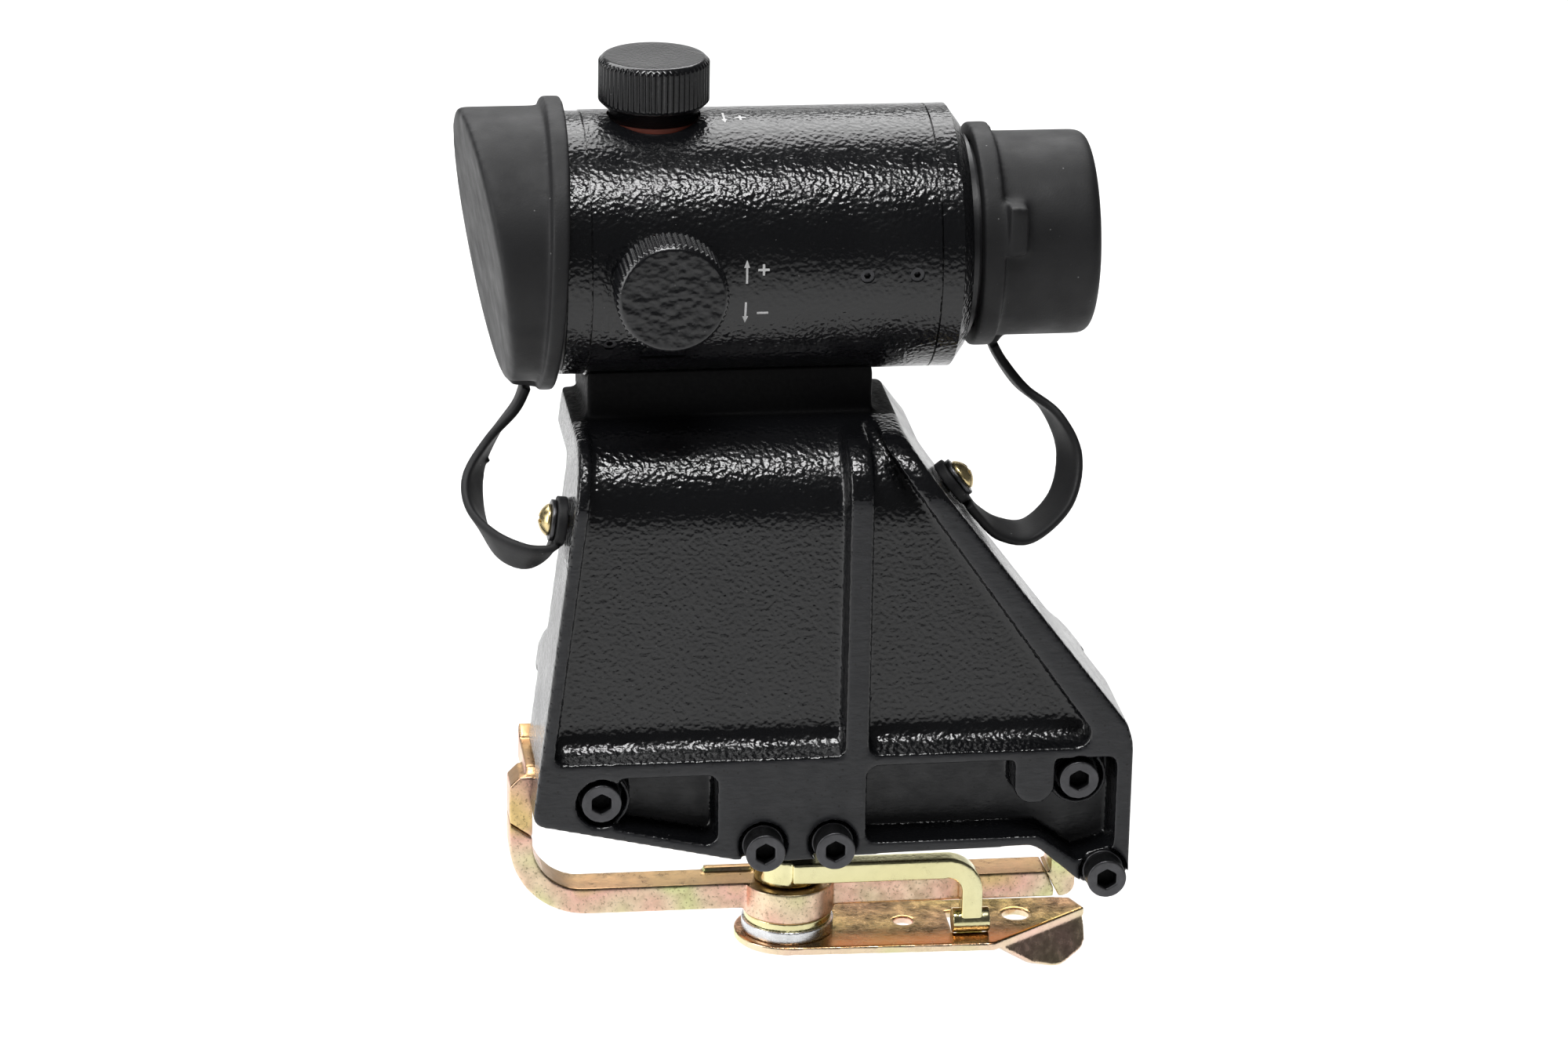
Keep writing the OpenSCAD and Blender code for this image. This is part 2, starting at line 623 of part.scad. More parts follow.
module eye_washer() difference() {
    translate([0, 0, lug_t + 0.1]) cylinder(h = 1, r = 4.4);
    translate([0, 0, -1]) cylinder(h = 9, r = 1.55);
}
module strap_washers() color("#242528") {
    on_left_side() eye_washer();
    on_diagonal() eye_washer();
}

// ---------------------------------------------------------------- quick-release clamp
ring_z = [-44, -37];
bar_z = [-42.7, -36.8];
plate_z = -48.7;            // upper face of the lever
module on_stud(z) translate([stud_x, stud_y, z]) children();

module clamp_stud() color("#3d3e40") on_stud(-54) cylinder(h = 38.8, r = stud_r);
module stud_collar() color("#26272a") difference() {
    on_stud(-30.3) cylinder(h = 2.9, r = 6);
    on_stud(-60) cylinder(h = 60, r = stud_r + run);
}

bend_out = 17;              // outer and inner radius of the bar's left bend
bend_in = 11;
arm_left = jaw_leg_left[0];
// Bar in front view, from the left bend to the right diagonal joint
module bar_view() difference() {
    union() {
        translate([arm_left + bend_out, bar_z[0]]) square([58 - arm_left - bend_out, bar_z[1] - bar_z[0]]);
        difference() {
            translate([arm_left + bend_out, bar_z[0] + bend_out]) circle(bend_out);
            translate([arm_left + 4.9 + bend_in, bar_z[1] + bend_in]) circle(bend_in);
            translate([arm_left + 4.9 + bend_in, bar_z[1]]) square(40);
            translate([arm_left + 4.9, bar_z[1] + bend_in]) square(40);
        }
        translate([arm_left, bar_z[0] + bend_out]) square([4.9, 12]);
    }
    polygon([[arm_left - 5, -13], [arm_left - 5, -17.4], [arm_left + 6, -25.2], [arm_left + 12, -10]]);
    polygon([[54.6, -30], [54.6, -34], [59.6, -44], [80, -44], [80, -30]]);
}
module clamp_bar() color("#c8b26a") difference() {
    union() {
        slab_y(jaw_y0, jaw_y1) bar_view();
        on_stud(ring_z[0]) cylinder(h = ring_z[1] - ring_z[0], r = 10);
        // Upstand behind the ring
        translate([-18, jaw_y1 - 2.2, bar_z[1] - 0.5]) cube([36, 2.2, 1.6]);
    }
    on_stud(-70) cylinder(h = 60, r = stud_r + run);
    translate([stud_x, stud_y, bar_z[1] + 0.05]) cylinder(h = 4, r = 8.2);
}
module jaw_head(x0, x1) slab_x(x0, x1) polygon([
    [jaw_y0, -rail_half - 6], [jaw_y0, -rail_half - 2.6], [jaw_y0 + 2.4, -rail_half - 0.4],
    [land_y, -rail_half - 0.4], [lip_y, -rail_half + 2.4], [lip_y, -rail_half - 6]
]);
module clamp_jaws() color("#c9a25c") {
    jaw_head(jaw_leg_left[0] + jaw_step, jaw_leg_left[1] + jaw_step);
    slab_y(jaw_y0, jaw_y1) difference() {
        polygon([
            [jaw_leg_left[0], -26], [jaw_leg_left[1], -26], [jaw_leg_left[1], -10.2],
            [jaw_leg_left[0] + 2.2, -10.2], [jaw_leg_left[0], -12.4]
        ]);
        polygon([[arm_left - 5, -60], [arm_left - 5, -17.2], [arm_left + 6, -25], [arm_left + 6, -60]]);
    }
    jaw_head(jaw_leg_right[0], jaw_leg_right[1]);
    slab_y(jaw_y0, jaw_y1) difference() {
        polygon(rounded([
            [50, -36.8, 0], [50, -42.7, 0], [jaw_leg_right[1], -42.7, 3],
            [jaw_leg_right[1], -13, 0], [jaw_leg_right[0], -13, 0], [jaw_leg_right[0], -36.8, 0]
        ]));
        polygon([
            [40, -30], [jaw_leg_right[0], -30], [jaw_leg_right[0] - 2.4, -34.2], [59.8, -44], [40, -44]
        ]);
    }
}
module stack_washer(z0, z1, r) difference() {
    on_stud(z0) cylinder(h = z1 - z0, r = r);
    on_stud(z0 - 1) cylinder(h = z1 - z0 + 2, r = stud_r + run);
}
module brass_washer() color("#c9b273") stack_washer(-45.9, -44.1, 9.5);
module steel_washers() color("#c8cacc") {
    stack_washer(-47.3, -45.9, 10);
    stack_washer(plate_z, -47.3, 10);
}

// Sheet lever, seen from above
fold_a = [43.6, -25];
fold_b = [66.3, -8.3];
module lever_view() difference() {
    union() {
        translate([stud_x, stud_y]) circle(lever_head_r);
        polygon([
            [stud_x, stud_y - lever_head_r], fold_a, fold_b, [64, -2.6], [60, -1.9],
            [stud_x, stud_y + lever_head_r]
        ]);
    }
    translate([stud_x, stud_y]) circle(stud_r + run);
    translate([25.6, -11.5]) circle(2.15);
    translate([50.6, -10.2]) circle(3);
    translate([35.4, -18.5]) square([7.6, 11]);
}
fold_len = norm(fold_b - fold_a);
fold_turn = atan2(fold_b[1] - fold_a[1], fold_b[0] - fold_a[0]);
// Tail of the lever, bent down along the fold
module lever_flag() translate([fold_a[0], fold_a[1], plate_z - lever_t])
    rotate([0, 0, fold_turn]) rotate([68, 0, 0]) translate([0, -9, -lever_t])
        linear_extrude(lever_t) polygon(rounded([
            [0, 9 + lever_t, 0], [fold_len * 0.35, 3.4, 6], [fold_len * 0.62, 0.4, 6],
            [fold_len * 0.94, 2.6, 4], [fold_len, 9 + lever_t, 0]
        ]));
module lever_plate() color("#d0a772") {
    slab_z(plate_z - lever_t, plate_z) lever_view();
    lever_flag();
}

arm_z = [-35.3, -30.6];
arm_y = [-20.5, -15.8];
arm_bend_x = 41.5;
// Latch arm in front view: straight run, round bend, leg down to the clasp
module arm_view() {
    translate([0, arm_z[0]]) square([arm_bend_x - 8, arm_z[1] - arm_z[0]]);
    difference() {
        translate([arm_bend_x - 8, arm_z[1] - 8]) circle(8);
        translate([arm_bend_x - 8, arm_z[1] - 8]) circle(3.4);
        translate([0, -60]) square([arm_bend_x - 8, 60]);
        translate([0, -60]) square([60, 60 + arm_z[1] - 8]);
    }
    translate([arm_bend_x - 4.6, -46.6]) square([4.6, 46.6 + arm_z[1] - 8]);
}
module latch_arm() color("#cfb765") difference() {
    union() {
        on_stud(-36.7) cylinder(h = 6.2, r = 7.5);
        slab_y(arm_y[0], arm_y[1]) arm_view();
    }
    on_stud(-60) cylinder(h = 60, r = stud_r + run);
}
clasp_z = -46;
module latch_clasp() color("#d6c377") difference() {
    union() {
        translate([35.2, (arm_y[0] + arm_y[1]) / 2, clasp_z]) rotate([0, 90, 0]) cylinder(h = 8, r = 2.7);
        translate([36.4, -18, -52.6]) cube([5.6, 1.8, 7]);
    }
    // Socket for the foot of the arm
    translate([arm_bend_x - 4.6, arm_y[0], -46.6]) cube([4.6, 4.7, 8]);
}
module lever_nut() color("#8f9296") difference() {
    on_stud(-52.3) cylinder(h = 52.3 + plate_z - lever_t, r = 6, $fn = 6);
    on_stud(-60) cylinder(h = 60, r = stud_r + run);
}

bracket();
guide_plate();
cap_screws();
lock_washers();
saddle_screws();
tube_body();
objective_bezel();
objective_hood();
objective_lens();
lens_retainer();
eyepiece_bezel();
eyepiece_tube();
eyepiece_window();
window_retainer();
turret_bushes();
turret_seals();
grub_screws();
seal_plug();
cell_spring();
battery_holder();
coin_cell();
battery_contact();
circuit_board();
elevation_knob();
elevation_screw();
elevation_plunger();
windage_knob();
windage_screw();
windage_plunger();
cell_ring();
optical_cell();
led_emitter();
battery_cap();
brightness_knob();
brightness_spindle();
objective_cap();
eyepiece_cap();
objective_strap();
eyepiece_strap();
strap_screws();
strap_washers();
clamp_stud();
stud_collar();
clamp_bar();
clamp_jaws();
brass_washer();
steel_washers();
lever_plate();
latch_arm();
latch_clasp();
lever_nut();
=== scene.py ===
"""Looks of the tube sight on its side-rail bracket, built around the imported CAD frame. Metres."""

import json
import math

import bmesh
import bpy
import numpy as np
from mathutils import Matrix, Vector


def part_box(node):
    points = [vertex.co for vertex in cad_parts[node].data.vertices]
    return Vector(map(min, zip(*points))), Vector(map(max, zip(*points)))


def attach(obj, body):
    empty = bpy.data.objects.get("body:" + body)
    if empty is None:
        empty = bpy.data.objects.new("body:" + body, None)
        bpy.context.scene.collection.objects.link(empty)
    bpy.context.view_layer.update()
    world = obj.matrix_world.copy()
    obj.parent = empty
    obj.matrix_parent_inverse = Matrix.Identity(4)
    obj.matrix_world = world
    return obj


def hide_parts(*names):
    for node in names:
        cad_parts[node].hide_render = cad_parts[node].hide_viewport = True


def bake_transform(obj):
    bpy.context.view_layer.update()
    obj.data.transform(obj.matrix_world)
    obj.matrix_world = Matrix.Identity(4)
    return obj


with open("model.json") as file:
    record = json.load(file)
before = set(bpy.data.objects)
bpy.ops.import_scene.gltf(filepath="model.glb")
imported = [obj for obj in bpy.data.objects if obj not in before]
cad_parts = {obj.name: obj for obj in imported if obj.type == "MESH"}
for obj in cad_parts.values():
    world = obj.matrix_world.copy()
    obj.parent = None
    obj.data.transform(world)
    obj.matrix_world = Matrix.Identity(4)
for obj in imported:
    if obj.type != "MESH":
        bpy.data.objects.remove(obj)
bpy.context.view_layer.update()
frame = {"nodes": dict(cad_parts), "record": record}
nodes = frame["nodes"]
scene = bpy.context.scene
mm = 0.001


# ---------------------------------------------------------------- camera and studio
def make_camera():
    """Long lens at the photograph's angle: yaw, elevation and a slight roll about the view line."""
    yaw, elevation, roll = math.radians(7.9), math.radians(20.5), math.radians(1.1)
    forward = Vector((math.sin(yaw) * math.cos(elevation), math.cos(yaw) * math.cos(elevation),
                      -math.sin(elevation)))
    level_right = Vector((math.cos(yaw), -math.sin(yaw), 0))
    level_up = level_right.cross(forward)
    right = level_right * math.cos(roll) + level_up * math.sin(roll)
    up = level_up * math.cos(roll) - level_right * math.sin(roll)
    data = bpy.data.cameras.new("camera")
    data.sensor_width = 36
    data.lens = 126
    data.clip_end = 50
    camera = bpy.data.objects.new("camera", data)
    scene.collection.objects.link(camera)
    eye = Vector((-151.536, -1087.263, 450.779)) * mm
    place = Matrix((right, up, -forward)).transposed().to_4x4()
    place.translation = eye
    camera.matrix_world = place
    scene.camera = camera


def area_light(name, place, target, size, power):
    data = bpy.data.lights.new(name, "AREA")
    data.shape = "RECTANGLE"
    data.size, data.size_y = size
    data.energy = power
    lamp = bpy.data.objects.new(name, data)
    scene.collection.objects.link(lamp)
    lamp.location = place
    lamp.rotation_euler = (Vector(target) - Vector(place)).to_track_quat("-Z", "Y").to_euler()


def make_studio():
    world = bpy.data.worlds.new("studio")
    world.use_nodes = True
    world.node_tree.nodes["Background"].inputs["Color"].default_value = (1, 1, 1, 1)
    world.node_tree.nodes["Background"].inputs["Strength"].default_value = 0.07
    scene.world = world
    scene.view_settings.view_transform = "Standard"
    area_light("overhead", (-0.12, -0.42, 1.05), (0, 0, 0.05), (0.55, 0.25), 8.5)
    area_light("back_fill", (-0.2, 1.0, 1.35), (-0.1, 0.7, 0), (2.2, 1.3), 44)
    area_light("left_fill", (-1.1, -0.35, 0.45), (0, 0, 0.03), (0.5, 0.9), 7)


def make_floor(material):
    """Seamless sweep: a wide floor, well below the object, that curves up into a wall behind it."""
    drop = 90 * mm
    floor_z = cad_box_low_z() - drop
    wall_y, bend, height, half_width = 2.2, 0.6, 1.0, 3.5
    profile = [(-3.2, floor_z), (wall_y - bend, floor_z)]
    for i in range(1, 13):
        a = math.radians(90 * i / 12)
        profile.append((wall_y - bend + bend * math.sin(a), floor_z + bend * (1 - math.cos(a))))
    profile.append((wall_y, floor_z + height))
    bm = bmesh.new()
    rows = [[bm.verts.new((x, y, z)) for y, z in profile] for x in (-half_width, half_width)]
    for i in range(len(profile) - 1):
        bm.faces.new((rows[0][i], rows[1][i], rows[1][i + 1], rows[0][i + 1]))
    floor = object_from(bm, "floor", material)


def cad_box_low_z():
    return min(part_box(name)[0].z for name in nodes)


# ---------------------------------------------------------------- meshes
def object_from(bm, name, *materials, smooth=True):
    mesh = bpy.data.meshes.new(name)
    bm.normal_update()
    bm.to_mesh(mesh)
    bm.free()
    for material in materials:
        mesh.materials.append(material)
    for face in mesh.polygons:
        face.use_smooth = smooth
    obj = bpy.data.objects.new(name, mesh)
    scene.collection.objects.link(obj)
    return obj


def relax(mesh, passes, weight=None):
    """Rounds the edges of a dense mesh by moving each point towards the mean of its neighbours."""
    count = len(mesh.vertices)
    points = np.empty(count * 3)
    mesh.vertices.foreach_get("co", points)
    points = points.reshape(-1, 3)
    edges = np.empty(len(mesh.edges) * 2, np.int64)
    mesh.edges.foreach_get("vertices", edges)
    edges = edges.reshape(-1, 2)
    one, two = np.concatenate([edges[:, 0], edges[:, 1]]), np.concatenate([edges[:, 1], edges[:, 0]])
    degree = np.maximum(np.bincount(one, minlength=count), 1)
    share = 0.5 * (np.ones(count) if weight is None else weight(points))
    for _ in range(passes):
        for axis in range(3):
            total = np.bincount(one, weights=points[two, axis], minlength=count)
            points[:, axis] += share * (total / degree - points[:, axis])
    mesh.vertices.foreach_set("co", points.ravel())
    mesh.update()


def remeshed(obj, voxel):
    """The evaluated mesh of obj after a voxel remesh, which joins its shells into one skin."""
    modifier = obj.modifiers.new("remesh", "REMESH")
    modifier.mode = "VOXEL"
    modifier.voxel_size = voxel
    bpy.context.view_layer.update()
    evaluated = obj.evaluated_get(bpy.context.evaluated_depsgraph_get())
    mesh = bpy.data.meshes.new_from_object(evaluated)
    obj.modifiers.remove(modifier)
    return mesh


def finish_mesh(obj, mesh, materials):
    obj.data = mesh
    mesh.materials.clear()
    for material in materials:
        mesh.materials.append(material)
    for face in mesh.polygons:
        face.use_smooth = True
        face.material_index = 0


def copied_solid(node, name):
    """A copy of a CAD node's mesh with its split corners welded, not yet riding on anything."""
    bm = bmesh.new()
    bm.from_mesh(nodes[node].data)
    bmesh.ops.remove_doubles(bm, verts=bm.verts, dist=2e-6)
    return object_from(bm, name)


def softened(node, body, material, voxel, passes, weight=None):
    """Stands for a CAD node with the same shape, its sharp edges rounded in the mesh itself."""
    obj = copied_solid(node, node + "_finish")
    mesh = remeshed(obj, voxel)
    relax(mesh, passes, weight)
    finish_mesh(obj, mesh, [material])
    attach(obj, body)
    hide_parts(node)
    return obj


# ---------------------------------------------------------------- materials
class Paint:
    """A Principled material with short calls for the procedural nodes it is built from."""

    def __init__(self, name, **values):
        self.material = bpy.data.materials.new(name)
        self.material.use_nodes = True
        self.tree = self.material.node_tree
        self.shader = self.tree.nodes["Principled BSDF"]
        for key, value in values.items():
            self.shader.inputs[key.replace("_", " ")].default_value = value
        self.place = self.tree.nodes.new("ShaderNodeTexCoord").outputs["Object"]

    def link(self, a, b):
        self.tree.links.new(a, b)

    def stretched(self, scale):
        mapping = self.tree.nodes.new("ShaderNodeMapping")
        mapping.inputs["Scale"].default_value = scale
        self.link(self.place, mapping.inputs["Vector"])
        return mapping.outputs["Vector"]

    def noise(self, scale, detail=3.0, rough=0.55, vector=None):
        node = self.tree.nodes.new("ShaderNodeTexNoise")
        node.inputs["Scale"].default_value = scale
        node.inputs["Detail"].default_value = detail
        node.inputs["Roughness"].default_value = rough
        self.link(vector or self.place, node.inputs["Vector"])
        return node.outputs["Fac"]

    def spots(self, scale, size):
        """1 in small round spots, 0 elsewhere."""
        node = self.tree.nodes.new("ShaderNodeTexVoronoi")
        node.inputs["Scale"].default_value = scale
        self.link(self.place, node.inputs["Vector"])
        return self.ramp(node.outputs["Distance"], [(size * 0.6, (1, 1, 1)), (size, (0, 0, 0))])

    def ramp(self, value, stops):
        node = self.tree.nodes.new("ShaderNodeValToRGB")
        ramp = node.color_ramp
        while len(ramp.elements) < len(stops):
            ramp.elements.new(0.5)
        for element, (position, colour) in zip(ramp.elements, stops):
            element.position = position
            element.color = (*colour, 1)
        self.link(value, node.inputs["Fac"])
        return node.outputs["Color"]

    def between(self, value, low, high, start=0.0, end=1.0):
        node = self.tree.nodes.new("ShaderNodeMapRange")
        node.inputs["From Min"].default_value = start
        node.inputs["From Max"].default_value = end
        node.inputs["To Min"].default_value = low
        node.inputs["To Max"].default_value = high
        self.link(value, node.inputs["Value"])
        return node.outputs["Result"]

    def mixed(self, factor, a, b):
        node = self.tree.nodes.new("ShaderNodeMix")
        node.data_type = "RGBA"
        for value, socket in ((factor, node.inputs[0]), (a, node.inputs[6]), (b, node.inputs[7])):
            if isinstance(value, (int, float)):
                socket.default_value = value
            elif isinstance(value, tuple):
                socket.default_value = (*value, 1)
            else:
                self.link(value, socket)
        return node.outputs[2]

    def colour(self, socket):
        self.link(socket, self.shader.inputs["Base Color"])

    def roughness(self, socket):
        self.link(socket, self.shader.inputs["Roughness"])

    def bump(self, height, depth, strength=1.0):
        """Adds a bump of the given depth in metres on top of any that is there already."""
        node = self.tree.nodes.new("ShaderNodeBump")
        node.inputs["Strength"].default_value = strength
        node.inputs["Distance"].default_value = depth
        self.link(height, node.inputs["Height"])
        earlier = self.shader.inputs["Normal"].links
        if earlier:
            self.link(earlier[0].from_socket, node.inputs["Normal"])
        self.link(node.outputs["Normal"], self.shader.inputs["Normal"])


def enamel(name, grain, depth, gloss, stretch=(1, 1, 1)):
    """Black hammered enamel: orange-peel dimples of the given size over a slow waviness."""
    paint = Paint(name, IOR=1.52)
    vector = paint.stretched(stretch)
    dust = paint.spots(330, 0.045)
    paint.colour(paint.mixed(dust, (0.0045, 0.0047, 0.0055), (0.1, 0.1, 0.1)))
    paint.roughness(paint.between(paint.noise(90), gloss - 0.04, gloss + 0.07, 0.3, 0.7))
    paint.bump(paint.noise(1 / grain, 0.8, 0.35, vector), depth)
    paint.bump(paint.noise(3.2 / grain, 2, 0.5, vector), depth * 0.06)
    return paint.material


def satin_enamel(name):
    """The flat faces of the casting: smoother paint with dark specks, shallow grain and a faint drag along X.
    """
    paint = Paint(name, IOR=1.5)
    specks = paint.spots(520, 0.17)
    drag = paint.noise(1400, 2, 0.5, paint.stretched((0.25, 1, 1)))
    dark, light = (0.0075, 0.008, 0.0095), (0.013, 0.0135, 0.016)
    tone = paint.mixed(paint.between(drag, 0, 1, 0.3, 0.7), dark, light)
    paint.colour(paint.mixed(specks, tone, (0.001, 0.001, 0.001)))
    paint.roughness(paint.between(paint.noise(260), 0.34, 0.5, 0.3, 0.7))
    paint.bump(drag, 0.05 * mm)
    paint.bump(paint.noise(1100, 2, 0.5, paint.stretched((0.6, 1, 1))), 0.07 * mm)
    return paint.material


def painted_shade_enamel(name):
    """Painted shade: near-black dull paint with little shine, for the deep corner below the tube and inside
    the screw sockets.
    """
    paint = Paint(name, Specular_IOR_Level=0.12)
    grain = paint.noise(1100, 3)
    paint.colour(paint.mixed(grain, (0.0015, 0.0015, 0.0018), (0.003, 0.003, 0.0034)))
    paint.roughness(paint.between(grain, 0.5, 0.7, 0.3, 0.7))
    paint.bump(grain, 0.12 * mm)
    return paint.material


def rubber(name, tone):
    """Matte moulded rubber with cloudy tone, a fine skin and light dust."""
    paint = Paint(name, Specular_IOR_Level=0.32)
    dark = tuple(c * 0.78 for c in tone)
    cloud = paint.mixed(paint.between(paint.noise(55, 4), 0, 1, 0.35, 0.65), dark, tone)
    dusty = paint.mixed(paint.spots(240, 0.05), cloud, (0.13, 0.13, 0.13))
    paint.colour(paint.mixed(paint.spots(610, 0.035), dusty, (0.09, 0.09, 0.09)))
    paint.roughness(paint.between(paint.noise(140, 4), 0.5, 0.66, 0.3, 0.7))
    paint.bump(paint.noise(2600, 2), 0.03 * mm)
    paint.bump(paint.noise(160, 3), 0.12 * mm, 0.5)
    return paint.material


def chromate(name, stops, pits, rough, mottle=0.3, bands=60):
    """Yellow chromate over zinc: slow iridescent bands, cloudy fine mottle and dark pits."""
    paint = Paint(name, Metallic=1.0)
    film = paint.ramp(paint.noise(bands, 1.5, 0.5), stops)
    cloud = paint.between(paint.noise(520, 3, 0.6), 0, mottle, 0.45, 0.7)
    cloudy = paint.mixed(cloud, film, (0.3, 0.22, 0.11))
    fine = paint.between(paint.noise(1500, 3, 0.65), 0, pits, 0.56, 0.66)
    paint.colour(paint.mixed(fine, cloudy, (0.1, 0.07, 0.03)))
    paint.roughness(paint.between(paint.noise(420, 3), rough - 0.08, rough + 0.12, 0.3, 0.7))
    paint.bump(paint.noise(1100, 3), 0.045 * mm)
    return paint.material


def metal(name, tone, rough, grain=(1, 1, 1)):
    """Plain machined or plated metal with fine tool marks and uneven polish."""
    paint = Paint(name, Metallic=1.0)
    marks = paint.noise(1500, 3, 0.6, paint.stretched(grain))
    dark = tuple(c * 0.75 for c in tone)
    paint.colour(paint.mixed(paint.between(paint.noise(300, 3), 0, 1, 0.3, 0.7), dark, tone))
    paint.roughness(paint.between(marks, rough - 0.06, rough + 0.1, 0.3, 0.7))
    paint.bump(marks, 0.02 * mm)
    return paint.material


def plastic(name, tone, rough):
    paint = Paint(name)
    dark = tuple(c * 0.7 for c in tone)
    paint.colour(paint.mixed(paint.between(paint.noise(200, 3), 0, 1, 0.3, 0.7), dark, tone))
    paint.roughness(paint.between(paint.noise(500), rough - 0.05, rough + 0.08, 0.3, 0.7))
    paint.bump(paint.noise(1800, 2), 0.02 * mm)
    return paint.material


def coated_glass():
    """Lens glass with a warm reflecting coat and a trace of dust in its roughness."""
    paint = Paint("lens_glass", Transmission_Weight=1.0, IOR=1.52)
    paint.colour(paint.mixed(paint.between(paint.noise(30), 0, 1, 0.35, 0.65), (0.82, 0.62, 0.58),
                             (0.9, 0.74, 0.62)))
    paint.roughness(paint.between(paint.noise(700), 0.01, 0.05, 0.3, 0.7))
    return paint.material


def pale_floor():
    paint = Paint("pale_floor", Roughness=0.8)
    paint.colour(paint.mixed(paint.between(paint.noise(3), 0, 1), (0.82, 0.82, 0.82), (0.85, 0.85, 0.85)))
    return paint.material


gold, pink, green, pale = (0.74, 0.54, 0.24), (0.86, 0.53, 0.42), (0.68, 0.74, 0.33), (0.82, 0.66, 0.46)
paints = {
    "enamel": enamel("hammered_enamel", 0.95 * mm, 0.2 * mm, 0.17),
    "knob": enamel("knob_enamel", 0.7 * mm, 0.03 * mm, 0.2),
    "dimpled": enamel("dimpled_enamel", 1.5 * mm, 0.42 * mm, 0.24, (0.85, 1, 1)),
    "deep_shade": painted_shade_enamel("painted_shade_enamel"),
    "satin": satin_enamel("satin_enamel"),
    "rubber": rubber("dark_rubber", (0.0125, 0.0125, 0.0135)),
    "strap": rubber("strap_rubber", (0.012, 0.012, 0.013)),
    "zinc": chromate("yellow_chromate", [(0.3, green), (0.42, pale), (0.55, pink), (0.68, gold)], 0.5, 0.36),
    # painted shade: darker brown copy of the chromate for the clamp's upward faces, standing in for the dark
    # bracket they reflect
    "zinc_shaded_top": chromate("shaded_top_chromate", [(0.35, (0.46, 0.3, 0.14)), (0.6, (0.52, 0.31, 0.16))], 0.2, 0.32),
    # painted shade: darker orange-brown copy for the lever's upward faces; its other faces take the paler
    # chromate below
    "lever": chromate("lever_shaded_top_chromate", [(0.35, (0.56, 0.4, 0.13)), (0.5, (0.52, 0.3, 0.15)),
                                         (0.66, (0.5, 0.24, 0.16))], 0.06, 0.2, 0.05, 28),
    "lever_edge": chromate("pale_chromate", [(0.35, green), (0.5, pale), (0.62, (0.88, 0.6, 0.5))],
                           0.12, 0.22, 0.1, 45),
    "arm": chromate("arm_chromate", [(0.3, (0.8, 0.76, 0.46)), (0.7, (0.72, 0.66, 0.34))],
                    0.05, 0.17, 0.04, 40),
    "black_anodised": plastic("black_anodised", (0.016, 0.016, 0.018), 0.38),
    "black_oxide": metal("black_oxide", (0.1, 0.1, 0.105), 0.38),
    "bright_steel": metal("bright_steel", (0.78, 0.79, 0.8), 0.24, (1, 1, 6)),
    "brass": metal("brass", (0.82, 0.66, 0.34), 0.28),
    "red_rubber": plastic("red_rubber", (0.13, 0.022, 0.009), 0.5),
    "green_board": plastic("green_board", (0.05, 0.2, 0.08), 0.45),
    "red_lamp": plastic("red_lamp", (0.5, 0.05, 0.03), 0.25),
    "white_paint": plastic("white_paint", (0.72, 0.72, 0.72), 0.5),
    "lens_glass": coated_glass(),
}
paints["black_enamel"] = paints["enamel"]
paints["yellow_zinc"] = paints["zinc"]
paints["black_rubber"] = paints["rubber"]

make_camera()
make_studio()
make_floor(pale_floor())

# Every CAD node starts with its slot's material; the pieces below replace the ones that need mesh work
for part in frame["record"]["subparts"]:
    node = nodes[part["node"]]
    node.data.materials.clear()
    node.data.materials.append(paints[part["material_slot"]])


# ---------------------------------------------------------------- bracket casting
def make_bracket():
    """Rounded casting: soft fillets above the foot, tighter ones round the recessed bands."""
    foot_z = -4 * mm

    def weight(points):
        return np.where(points[:, 2] < foot_z, 0.45, 1.0)

    obj = softened("bracket", "root", paints["enamel"], 0.55 * mm, 9, weight)
    mesh = obj.data
    mesh.materials.append(paints["satin"])
    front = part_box("bracket")[0].y
    for face in mesh.polygons:
        forward = face.normal.y < -0.9
        if forward and (face.center.y < front + 0.25 * mm or face.center.z < foot_z):
            face.material_index = 1

    # painted shade: the deep corner below the tube gets the near-black dull paint
    mesh.materials.append(paints["deep_shade"])
    shelf_z, saddle_y = 64.5 * mm, -1.5 * mm
    for face in mesh.polygons:
        if face.center.z > shelf_z and face.center.y > saddle_y:
            face.material_index = 2


